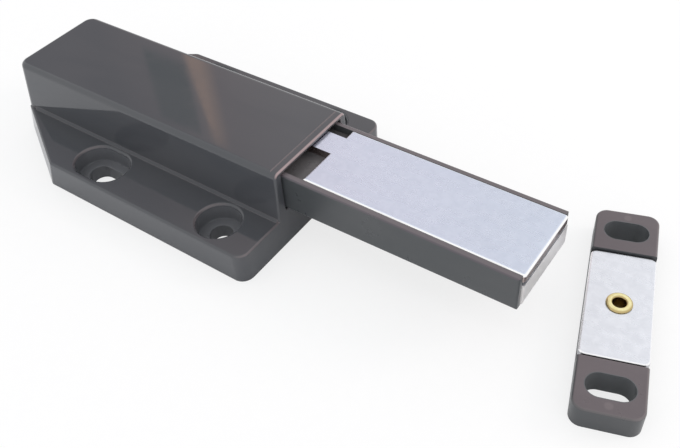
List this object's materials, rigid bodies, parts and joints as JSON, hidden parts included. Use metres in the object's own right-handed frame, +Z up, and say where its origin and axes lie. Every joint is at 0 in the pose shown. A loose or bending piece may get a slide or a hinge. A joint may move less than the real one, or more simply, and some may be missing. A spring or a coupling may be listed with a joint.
{
  "type": "magnetic touch latch",
  "caption": "Push-to-open cabinet catch: winged screw-on housing with a sprung magnetic plunger, and a loose strike strip with a rocking steel plate.",
  "frame": {"origin": "middle of the housing's underside, on the mounting surface", "axes": "+X the way the plunger points, +Z up from the mounting surface, +Y to the left seen from behind the housing"},
  "size_m": [0.1294, 0.0449, 0.0158],
  "materials": {
    "housing_plastic": "glossy moulded dark brown plastic",
    "cover_plastic": "satin moulded dark brown plastic",
    "plunger_plastic": "satin moulded dark brown plastic",
    "pole_steel": "zinc-plated steel sheet",
    "magnet_ferrite": "ground ferrite",
    "spring_wire": "drawn spring wire",
    "keeper_plastic": "matte moulded brown plastic",
    "strike_steel": "zinc-plated steel sheet",
    "eyelet_brass": "polished brass"
  },
  "bodies": {
    "housing": {"housing_shell": "housing_plastic", "base_plate": "cover_plastic", "return_spring": "spring_wire", "keeper_base": "keeper_plastic", "keeper_eyelet": "eyelet_brass"},
    "plunger": {"plunger_carrier": "plunger_plastic", "upper_pole_plate": "pole_steel", "lower_pole_plate": "pole_steel", "magnet": "magnet_ferrite"},
    "follower": {"cam_follower": "spring_wire"},
    "strike": {"keeper_plate": "strike_steel"}
  },
  "joints": [
    {"name": "plunger_slide", "type": "slide", "parent": "housing", "child": "plunger", "axis": [1, 0, 0], "range_m": [-0.036, 0], "stiffness_N_per_m": 60, "springref_m": 0.02, "deforming": ["return_spring"]},
    {"name": "follower_swing", "type": "hinge", "parent": "plunger", "child": "follower", "pos_m": [0.0282, 0, 0.0074], "axis": [0, 0, -1], "range_deg": [0, 27]},
    {"name": "keeper_rock", "type": "hinge", "parent": "housing", "child": "strike", "pos_m": [0.08615, 0.0043, 0.00265], "axis": [0.9516, 0.3074, 0], "range_deg": [0, 3]}
  ]
}
